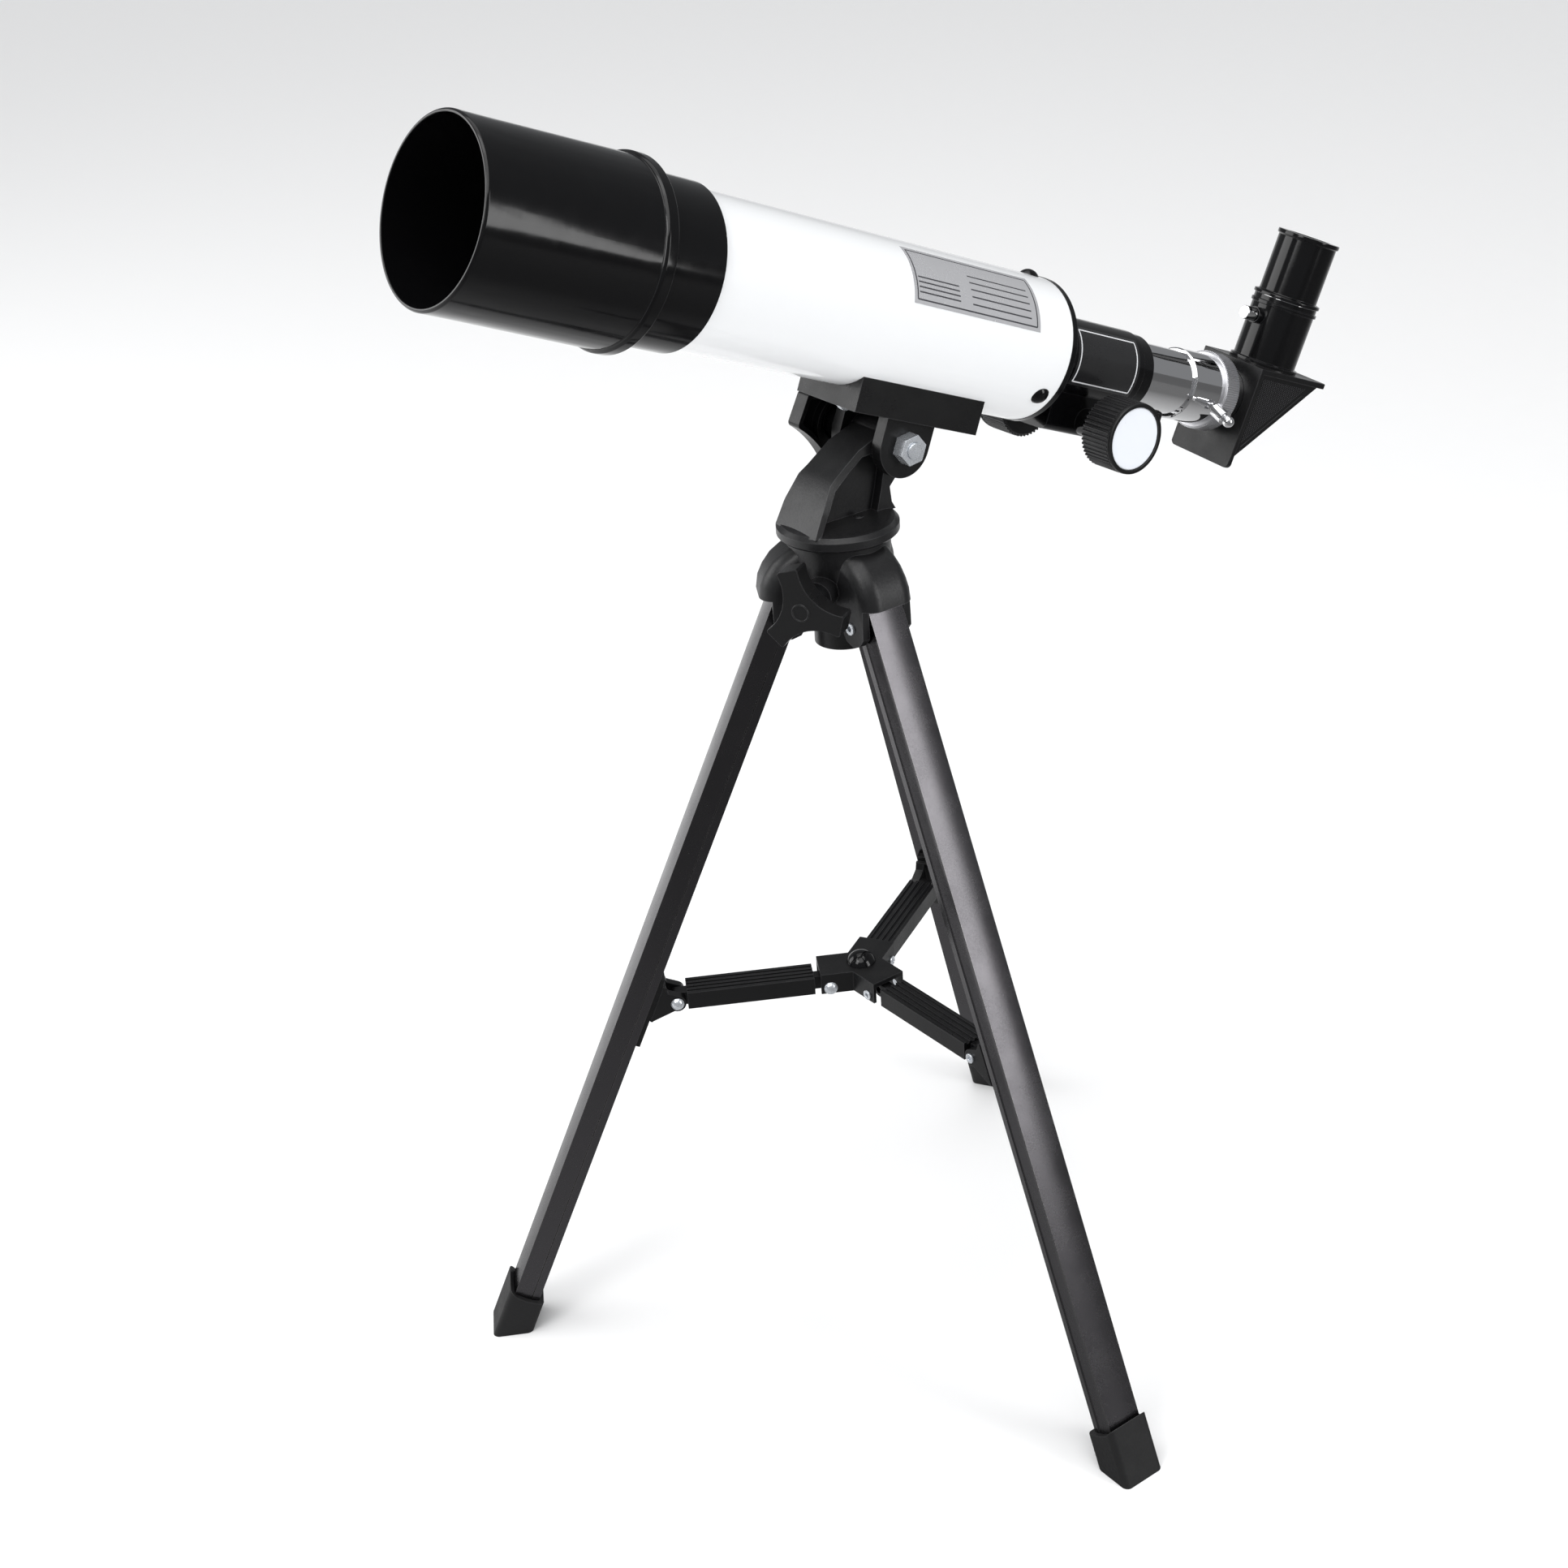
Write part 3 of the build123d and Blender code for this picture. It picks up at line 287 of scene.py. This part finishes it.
def panel_material(name, ground, line, rough, limits, rules, sockets):
    """Blank label wrapped round the tube, with a border and plain rules.

    limits: its ends along the tube (mm), its edges round it (degrees), and mm per degree.
    rules: one (degrees round, start, end along) for each plain line.
    """
    material = finish_material(name, ground, rough, 0.06, (900.0, 0.08, 0.0001), dust=0.03, **sockets)
    tree = material.node_tree
    shader = tree.nodes["Principled BSDF"]
    coordinates = tree.nodes.new("ShaderNodeTexCoord")
    turn = tree.nodes.new("ShaderNodeMapping")
    inverse = TUBE.inverted()
    turn.inputs["Rotation"].default_value = inverse.to_euler("XYZ")
    turn.inputs["Location"].default_value = inverse.translation
    tree.links.new(coordinates.outputs["Object"], turn.inputs["Vector"])
    split = tree.nodes.new("ShaderNodeSeparateXYZ")
    tree.links.new(turn.outputs["Vector"], split.inputs["Vector"])
    turned_by = math_node(tree, "ARCTAN2", split.outputs["Y"], split.outputs["X"])
    angle = math_node(tree, "MULTIPLY", turned_by, 180 / pi)
    along = math_node(tree, "DIVIDE", split.outputs["Z"], MM)

    def stripe(value, centre, half):
        distance = math_node(tree, "ABSOLUTE", math_node(tree, "SUBTRACT", value, centre), 0.0)
        return math_node(tree, "LESS_THAN", distance, half)

    def within(value, low, high):
        return stripe(value, (low + high) / 2, (high - low) / 2)

    (first, last), (lower, upper), per_degree = limits
    margin, width = BORDER_MARGIN / per_degree, LINE_HALF_WIDTH / per_degree
    ends = (first + BORDER_MARGIN, last - BORDER_MARGIN)
    edges = (lower + margin, upper - margin)
    marks = []
    for end in ends:
        line_across = stripe(along, end, LINE_HALF_WIDTH)
        marks.append(math_node(tree, "MULTIPLY", line_across, within(angle, *edges)))
    for at, start, stop in [(edge, *ends) for edge in edges] + rules:
        line_along = stripe(angle, at, width)
        marks.append(math_node(tree, "MULTIPLY", line_along, within(along, start, stop)))
    total = marks[0]
    for mark in marks[1:]:
        total = math_node(tree, "MAXIMUM", total, mark)
    old = shader.inputs["Base Color"].links[0].from_socket
    tree.links.new(mixed(tree, total, old, line), shader.inputs["Base Color"])
    return material


# ---- mesh helpers ----
EDGE_SEGMENTS = 2
EDGE_FROM = radians(28)                            # edges sharper than this are rounded
CRISP_FROM = radians(40)                           # and those sharper than this stay crisp
WELD, FLAT_WITHIN = 1e-6, radians(0.6)


def mesh_object(name, mesh, material):
    mesh.materials.clear()
    mesh.materials.append(material)
    piece = bpy.data.objects.new(name, mesh)
    bpy.context.scene.collection.objects.link(piece)
    return piece


def baked(piece, name):
    """The object's evaluated mesh as a plain mesh object of its own."""
    graph = bpy.context.evaluated_depsgraph_get()
    mesh = bpy.data.meshes.new_from_object(piece.evaluated_get(graph), depsgraph=graph)
    material = piece.data.materials[0]
    bpy.data.objects.remove(piece)
    return mesh_object(name, mesh, material)


def softened(piece, name, width):
    """Rounds the piece's edges and returns it as a plain mesh with sharp edges kept crisp."""
    bevel = piece.modifiers.new("edges", "BEVEL")
    bevel.width = width * MM
    bevel.segments = EDGE_SEGMENTS
    bevel.limit_method = "ANGLE"
    bevel.angle_limit = EDGE_FROM
    bevel.use_clamp_overlap = True
    bevel.miter_outer = "MITER_ARC"
    result = baked(piece, name)
    result.data.shade_smooth()
    result.data.set_sharp_from_angle(angle=CRISP_FROM)
    normals = result.modifiers.new("normals", "WEIGHTED_NORMAL")
    normals.keep_sharp = True
    return baked(result, name)


def cad_copy(node, finish, width):
    """CAD node as a welded piece with rounded edges, standing in for the node."""
    mesh = NODES[node].data.copy()
    work = bmesh.new()
    work.from_mesh(mesh)
    bmesh.ops.remove_doubles(work, verts=work.verts, dist=WELD)
    bmesh.ops.dissolve_limit(work, angle_limit=FLAT_WITHIN, verts=work.verts, edges=work.edges)
    work.to_mesh(mesh)
    work.free()
    piece = softened(mesh_object("draft", mesh, FINISH[finish]), node + "_shell", width)
    return stand_in(piece, NODES[node]["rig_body"], SLOT[node], node)


def stand_in(piece, body, slot, *nodes):
    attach(piece, body)
    if nodes:
        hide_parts(*nodes)
    return piece


def turned(profile, material, place, segments=144):
    """Solid of revolution about local Z from a closed outline of (radius, height) in millimetres."""
    work = bmesh.new()
    rings = []
    for step in range(segments):
        turn = 2 * pi * step / segments
        rings.append([work.verts.new((r * cos(turn) * MM, r * sin(turn) * MM, z * MM))
                      for r, z in profile])
    for step in range(segments):
        here, there = rings[step], rings[(step + 1) % segments]
        for k in range(len(profile)):
            n = (k + 1) % len(profile)
            if profile[k][0] or profile[n][0]:
                work.faces.new((here[k], there[k], there[n], here[n]))
    bmesh.ops.remove_doubles(work, verts=work.verts, dist=1e-7)
    bmesh.ops.recalc_face_normals(work, faces=work.faces)
    mesh = bpy.data.meshes.new("turned")
    work.to_mesh(mesh)
    work.free()
    mesh.transform(place)
    return mesh_object("draft", mesh, material)


def joined(name, pieces):
    """Several plain pieces as one mesh."""
    work = bmesh.new()
    for piece in pieces:
        work.from_mesh(piece.data)
    mesh = bpy.data.meshes.new(name)
    work.to_mesh(mesh)
    work.free()
    material = pieces[0].data.materials[0]
    for piece in pieces:
        bpy.data.objects.remove(piece)
    return mesh_object(name, mesh, material)


# ---- geometry node trees ----
def geometry_tree(name, inputs):
    tree = bpy.data.node_groups.new(name, "GeometryNodeTree")
    for label, (kind, value) in inputs.items():
        socket = tree.interface.new_socket(name=label, in_out="INPUT", socket_type=kind)
        socket.default_value = value
    tree.interface.new_socket(name="Finish", in_out="INPUT", socket_type="NodeSocketMaterial")
    tree.interface.new_socket(name="Geometry", in_out="OUTPUT", socket_type="NodeSocketGeometry")
    return tree, tree.nodes.new("NodeGroupInput"), tree.nodes.new("NodeGroupOutput")


def close_tree(tree, entry, leave, instances):
    realize = tree.nodes.new("GeometryNodeRealizeInstances")
    paint = tree.nodes.new("GeometryNodeSetMaterial")
    tree.links.new(instances, realize.inputs["Geometry"])
    tree.links.new(realize.outputs["Geometry"], paint.inputs["Geometry"])
    tree.links.new(entry.outputs["Finish"], paint.inputs["Material"])
    tree.links.new(paint.outputs["Geometry"], leave.inputs["Geometry"])


def make_ridge_tree():
    """Straight ridges parallel to the axis, evenly spaced round a circle."""
    tree, entry, leave = geometry_tree("ridges", {
        "Count": ("NodeSocketInt", 40), "Circle": ("NodeSocketFloat", 0.01),
        "Ridge": ("NodeSocketFloat", 0.0005), "Length": ("NodeSocketFloat", 0.01)})
    circle = tree.nodes.new("GeometryNodeMeshCircle")
    tree.links.new(entry.outputs["Count"], circle.inputs["Vertices"])
    tree.links.new(entry.outputs["Circle"], circle.inputs["Radius"])
    bar = tree.nodes.new("GeometryNodeMeshCylinder")
    bar.inputs["Vertices"].default_value = 8
    tree.links.new(entry.outputs["Ridge"], bar.inputs["Radius"])
    tree.links.new(entry.outputs["Length"], bar.inputs["Depth"])
    index = tree.nodes.new("GeometryNodeInputIndex")
    step = math_node(tree, "DIVIDE", 2 * pi, entry.outputs["Count"])
    angle = math_node(tree, "MULTIPLY", index.outputs[0], step)
    turn = tree.nodes.new("ShaderNodeCombineXYZ")
    tree.links.new(angle, turn.inputs["Z"])
    place = tree.nodes.new("GeometryNodeInstanceOnPoints")
    tree.links.new(circle.outputs["Mesh"], place.inputs["Points"])
    tree.links.new(bar.outputs["Mesh"], place.inputs["Instance"])
    tree.links.new(turn.outputs["Vector"], place.inputs["Rotation"])
    close_tree(tree, entry, leave, place.outputs["Instances"])
    return tree


def make_stud_tree():
    """Small raised studs in a diagonal grid over a right-angled triangle, corner at the origin."""
    tree, entry, leave = geometry_tree("studs", {
        "Side": ("NodeSocketFloat", 0.03), "Margin": ("NodeSocketFloat", 0.002),
        "Pitch": ("NodeSocketFloat", 0.001), "Stud": ("NodeSocketFloat", 0.0004)})
    grid = tree.nodes.new("GeometryNodeMeshGrid")
    span = math_node(tree, "MULTIPLY", entry.outputs["Side"], 3.0)
    count = math_node(tree, "DIVIDE", span, entry.outputs["Pitch"])
    for label in ("Size X", "Size Y"):
        tree.links.new(span, grid.inputs[label])
    for label in ("Vertices X", "Vertices Y"):
        tree.links.new(count, grid.inputs[label])
    spin = tree.nodes.new("GeometryNodeTransform")
    tree.links.new(grid.outputs["Mesh"], spin.inputs["Geometry"])
    spin.inputs["Rotation"].default_value = (0, 0, pi / 4)
    position = tree.nodes.new("GeometryNodeInputPosition")
    split = tree.nodes.new("ShaderNodeSeparateXYZ")
    tree.links.new(position.outputs[0], split.inputs["Vector"])
    low = math_node(tree, "MINIMUM", split.outputs["X"], split.outputs["Y"])
    inside = math_node(tree, "GREATER_THAN", low, entry.outputs["Margin"])
    far = math_node(tree, "SUBTRACT", entry.outputs["Side"],
                    math_node(tree, "MULTIPLY", entry.outputs["Margin"], 1.8))
    reached = math_node(tree, "ADD", split.outputs["X"], split.outputs["Y"])
    under = math_node(tree, "LESS_THAN", reached, far)
    keep = math_node(tree, "MULTIPLY", inside, under)
    drop = math_node(tree, "LESS_THAN", keep, 0.5)
    cut = tree.nodes.new("GeometryNodeDeleteGeometry")
    tree.links.new(spin.outputs["Geometry"], cut.inputs["Geometry"])
    tree.links.new(drop, cut.inputs["Selection"])
    stud = tree.nodes.new("GeometryNodeMeshCone")
    stud.inputs["Vertices"].default_value = 6
    tree.links.new(entry.outputs["Stud"], stud.inputs["Radius Bottom"])
    tree.links.new(math_node(tree, "MULTIPLY", entry.outputs["Stud"], 0.45), stud.inputs["Radius Top"])
    tree.links.new(math_node(tree, "MULTIPLY", entry.outputs["Stud"], 0.6), stud.inputs["Depth"])
    place = tree.nodes.new("GeometryNodeInstanceOnPoints")
    tree.links.new(cut.outputs["Geometry"], place.inputs["Points"])
    tree.links.new(stud.outputs["Mesh"], place.inputs["Instance"])
    close_tree(tree, entry, leave, place.outputs["Instances"])
    return tree


def grown(name, tree, finish, place, **values):
    """Runs a geometry tree with the given inputs and puts its plain mesh in place."""
    host = mesh_object("host", bpy.data.meshes.new("host"), FINISH[finish])
    modifier = host.modifiers.new("tree", "NODES")
    modifier.node_group = tree
    values["Finish"] = FINISH[finish]
    for item in tree.interface.items_tree:
        if item.in_out == "INPUT" and item.name in values:
            modifier[item.identifier] = values[item.name]
    piece = baked(host, name)
    piece.data.transform(place)
    return piece


RIDGES, STUDS = make_ridge_tree(), make_stud_tree()
SLOT = {entry["node"]: entry["material_slot"] for entry in frame["record"]["subparts"]}


# ---- finishes for the CAD nodes that stay ----
STAYING = {
    "chrome": ("drawtube", "diagonal_nose", "eyepiece_barrel"),
    "zinc": ("pan_spindle", "pan_screw", "pan_lock_screw", "saddle_screws", "focus_pinion_shaft"),
    "glass": ("objective_crown", "objective_flint", "eyepiece_field_lens", "eyepiece_eye_lens"),
    "mirror": ("diagonal_mirror",),
    "plastic": ("lens_retaining_ring", "drawtube_rack"),
}
for finish, names in STAYING.items():
    for node in names:
        NODES[node].data.materials.clear()
        NODES[node].data.materials.append(FINISH[finish])

FOIL_LIMITS = ((-80.5, -17.5), (17.8, 67.8), 0.4712)
FOIL_RULES = ([(angle, -40, -20) for angle in (27, 31, 35, 39)]
              + [(angle, -76, -46) for angle in (27, 33, 39, 45, 51)])
BAND_LIMITS = ((-148, -113.5), (-32, 56), 0.2723)
FINISH["foil"] = panel_material(
    "silver_foil_label", (0.72, 0.72, 0.74), (0.10, 0.10, 0.11), 0.24, FOIL_LIMITS, FOIL_RULES,
    dict(Metallic=0.6))
FINISH["band"] = panel_material(
    "black_focuser_label", (0.012, 0.012, 0.013), (0.75, 0.76, 0.78), 0.3, BAND_LIMITS, [],
    dict(Coat_Weight=0.3))
for node, finish in (("tube_label", "foil"), ("focuser_label", "band")):
    NODES[node].data.materials.clear()
    NODES[node].data.materials.append(FINISH[finish])

# ---- pieces cut from the CAD shapes, with their edges rounded ----
EDGED = [
    ("tripod_head", "cast", 0.7), ("yoke", "cast", 0.5), ("yoke_disc_screw", "cast", 0.2),
    ("saddle", "plastic", 0.5), ("tilt_clamp_knob", "plastic", 0.6), ("pan_lock_knob", "plastic", 0.7),
    ("diagonal_housing", "plastic", 0.3), ("diagonal_back_cover", "plastic", 0.2),
    ("focuser_body", "gloss_black", 0.4), ("spreader_hub", "plastic", 0.35), ("tilt_nut", "zinc", 0.25),
    ("tilt_bolt", "zinc", 0.3), ("leg_hinge_rivets", "zinc", 0.2), ("hub_rivets", "zinc", 0.2),
    ("hub_cap_rivet", "gloss_black", 0.2), ("rear_screws", "gloss_black", 0.3), ("main_tube", "enamel", 0.2),
    ("lens_cell", "gloss_black", 0.3), ("dew_shield", "gloss_black", 0.3), ("drawtube_end", "chrome", 0.3),
    ("nose_thumbscrew", "chrome", 0.3), ("eyepiece_holder", "gloss_black", 0.2),
    ("eyepiece_body", "gloss_black", 0.25), ("eyepiece_thumbscrew", "chrome", 0.4),
]
for number in (1, 2, 3):
    EDGED += [(f"leg_{number}", "leg", 0.2), (f"rubber_foot_{number}", "rubber", 0.8),
              (f"leg_clip_{number}", "plastic", 0.35), (f"clip_rivet_{number}", "zinc", 0.2),
              (f"spreader_arm_{number}", "plastic", 0.3)]
for node, finish, width in EDGED:
    cad_copy(node, finish, width)

# ---- focus knobs: ribbed rim and white face ----
KNOB_INNER, KNOB_OUTER, KNOB_R = 21.0, 38.5, 13.9
LENGTH = KNOB_OUTER - KNOB_INNER
KNOB_OUTLINE = [
    (2, 0), (8, 0), (8, 1.6), (KNOB_R - 1.2, 1.6), (KNOB_R - 0.5, 2.6), (KNOB_R - 0.5, LENGTH - 1.6),
    (KNOB_R - 0.1, LENGTH - 1.2), (KNOB_R - 0.3, LENGTH), (12.1, LENGTH), (12.1, LENGTH - 1.2),
    (0, LENGTH - 1.2), (0, LENGTH - 4), (2, LENGTH - 4)]
DISC_OUTLINE = [(0, 16.3), (12.05, 16.3), (12.05, 16.8), (11.6, 17.1), (0, 17.1)]
discs = []
for name, side in (("left", 1), ("right", -1)):
    place = placed(UP, side * ALONG, side * NEAR, FOCUS_AXIS + side * NEAR * KNOB_INNER * MM)
    body = softened(turned(KNOB_OUTLINE, FINISH["plastic"], place), "draft", 0.2)
    ridges = grown("ridges", RIDGES, "plastic",
                   place @ Matrix.Translation((0, 0, (LENGTH / 2 + 0.2) * MM)),
                   Count=48, Circle=(KNOB_R - 0.55) * MM, Ridge=0.5 * MM, Length=(LENGTH - 4.0) * MM)
    stand_in(joined(f"focus_knob_{name}_ribbed", [body, ridges]), "focus", "black_plastic",
             f"focus_knob_{name}")
    discs.append(turned(DISC_OUTLINE, FINISH["disc"], place))
stand_in(softened(joined("discs", discs), "focus_knob_faces", 0.1), "focus", "disc_white",
         "focus_knob_discs")

# ---- fine knurled ring behind the drawtube's end fitting ----
RING_BACK, RING_FRONT, RING_R = -209, -200.8, 15.6
ring_outline = [(12.3, RING_BACK), (15.3, RING_BACK), (RING_R, RING_BACK + 0.4), (RING_R, -201.3),
                (15.2, RING_FRONT), (12.3, RING_FRONT)]
knurl = softened(turned(ring_outline, FINISH["alloy"], TUBE), "draft", 0.15)
teeth = grown("teeth", RIDGES, "alloy", TUBE @ Matrix.Translation((0, 0, -204.95 * MM)),
              Count=110, Circle=15.58 * MM, Ridge=0.3 * MM, Length=7.0 * MM)
stand_in(joined("knurled_ring_cut", [knurl, teeth]), "drawtube", "alloy_grey", "knurled_ring")

# ---- studded side faces of the star diagonal ----
side_length = (DIAGONAL_TOP - DIAGONAL_BOTTOM) * MM
STUD_FOOT = 0.05                                   # mm proud of the housing's side
for name, side in (("near", 1), ("far", -1)):
    corner = (AXIS_START + ALONG * DIAGONAL_FRONT * MM + EYE_UP * DIAGONAL_TOP * MM
              + side * EYE_SIDE * (DIAGONAL_SIDE + STUD_FOOT) * MM)
    axes = (-EYE_UP, -ALONG) if side > 0 else (-ALONG, -EYE_UP)
    studs = grown(f"diagonal_studs_{name}", STUDS, "plastic", placed(*axes, side * EYE_SIDE, corner),
                  Side=side_length, Margin=2.6 * MM, Pitch=0.9 * MM, Stud=0.3 * MM)
    stand_in(studs, "diagonal", "black_plastic")

# ---- floor, lights, camera ----
floor_mesh = bpy.data.meshes.new("floor")
FLOOR_REACH = 40.0
floor_mesh.from_pydata([(x * FLOOR_REACH, y * FLOOR_REACH, 0)
                        for x, y in ((-1, -1), (1, -1), (1, 1), (-1, 1))], [], [(0, 1, 2, 3)])
# colours of the painted reflection the floor shows to glossy rays, in front of and behind the stand
PAINTED_REFLECTION_FRONT, PAINTED_REFLECTION_BACK = (0.1, 0.1, 0.1), (0.85, 0.85, 0.85)
PAINTED_REFLECTION_FROM, PAINTED_REFLECTION_TO = -0.3, 0.6                 # metres in front of and behind the stand, over which the painted reflection runs from dark to pale


def floor_with_painted_reflection():
    """Matte white floor, whose colour seen by glossy rays is a painted reflection, darker in front of the
    stand than behind it.
    """
    material = finish_material("pale_floor_painted_reflection", (0.9, 0.9, 0.9), 0.6, 0.05, dust=0.0)
    tree = material.node_tree
    shader = tree.nodes["Principled BSDF"]
    split = tree.nodes.new("ShaderNodeSeparateXYZ")
    tree.links.new(tree.nodes.new("ShaderNodeTexCoord").outputs["Object"], split.inputs["Vector"])
    depth = tree.nodes.new("ShaderNodeMapRange")
    for label, value in (("From Min", PAINTED_REFLECTION_FROM), ("From Max", PAINTED_REFLECTION_TO),
                         ("To Min", 0.0), ("To Max", 1.0)):
        depth.inputs[label].default_value = value
    tree.links.new(split.outputs["Y"], depth.inputs["Value"])
    painted_reflection = mixed(tree, depth.outputs["Result"], PAINTED_REFLECTION_FRONT, PAINTED_REFLECTION_BACK)
    path = tree.nodes.new("ShaderNodeLightPath")
    white = shader.inputs["Base Color"].links[0].from_socket
    # glossy rays see the painted reflection colour, other rays the white floor
    both = mixed(tree, path.outputs["Is Glossy Ray"], white, painted_reflection)
    tree.links.new(both, shader.inputs["Base Color"])
    return material


floor = mesh_object("floor", floor_mesh, floor_with_painted_reflection())


def softbox(name, place, aim, size, power):
    """Rectangular light of the given size (metres) and power (watts), turned towards aim."""
    light = bpy.data.lights.new(name, "AREA")
    light.shape = "RECTANGLE"
    light.size, light.size_y = size
    light.energy = power
    lamp = bpy.data.objects.new(name, light)
    lamp.location = place
    lamp.visible_camera = False
    lamp.rotation_euler = (Vector(aim) - Vector(place)).to_track_quat("-Z", "Y").to_euler()
    bpy.context.scene.collection.objects.link(lamp)


MIDDLE = (0.0, 0.0, 0.3)
SOFTBOXES = (
    ("key", (-1.5, -0.35, 1.55), MIDDLE, (0.7, 1.0), 10),
    ("front_strip", (0.53, -1.25, 0.65), (0.0, -0.1, 0.3), (0.45, 0.9), 7),
    ("overhead", (0.2, 0.4, 2.2), MIDDLE, (1.6, 1.6), 9),
    ("back_left", (-1.3, 1.35, 0.95), MIDDLE, (1.4, 1.2), 17),
)
for box in SOFTBOXES:
    softbox(*box)

EVEN_POWER, EVEN_SPREAD, EVEN_TILT = 2.0, radians(60), (radians(12), radians(-14), 0)
even = bpy.data.lights.new("even", "SUN")
even.energy = EVEN_POWER
even.angle = EVEN_SPREAD
sky = bpy.data.objects.new("even", even)
sky.rotation_euler = EVEN_TILT
bpy.context.scene.collection.objects.link(sky)

WORLD_COLOUR, WORLD_STRENGTH = (0.95, 0.97, 1.0, 1.0), 0.25
world = bpy.data.worlds.new("studio")
world.use_nodes = True
background = world.node_tree.nodes["Background"]
background.inputs["Color"].default_value = WORLD_COLOUR
background.inputs["Strength"].default_value = WORLD_STRENGTH
bpy.context.scene.world = world
bpy.context.scene.view_settings.view_transform = "Standard"

IMAGE = 1932                                       # width and height the lens is worked out for
FOCAL_LENGTH, CENTRE_X, CENTRE_Y = 2962.58, 1077.72, 1055.70
YAW, PITCH, ROLL = radians(-37.11), radians(-29.24), radians(-2.80)
CAMERA_AT = Vector((-0.49646, -0.66878, 0.67594))
ahead = Vector((-sin(YAW) * cos(PITCH), cos(YAW) * cos(PITCH), sin(PITCH)))
level = Vector((cos(YAW), sin(YAW), 0))
above = level.cross(ahead)
right = level * cos(ROLL) + above * sin(ROLL)
top = above * cos(ROLL) - level * sin(ROLL)
lens = bpy.data.cameras.new("camera")
lens.sensor_width = 36
lens.lens = FOCAL_LENGTH * lens.sensor_width / IMAGE
lens.shift_x = 0.5 - CENTRE_X / IMAGE
lens.shift_y = CENTRE_Y / IMAGE - 0.5
camera = bpy.data.objects.new("camera", lens)
camera.matrix_world = placed(right, top, -ahead, CAMERA_AT)
bpy.context.scene.collection.objects.link(camera)
bpy.context.scene.camera = camera
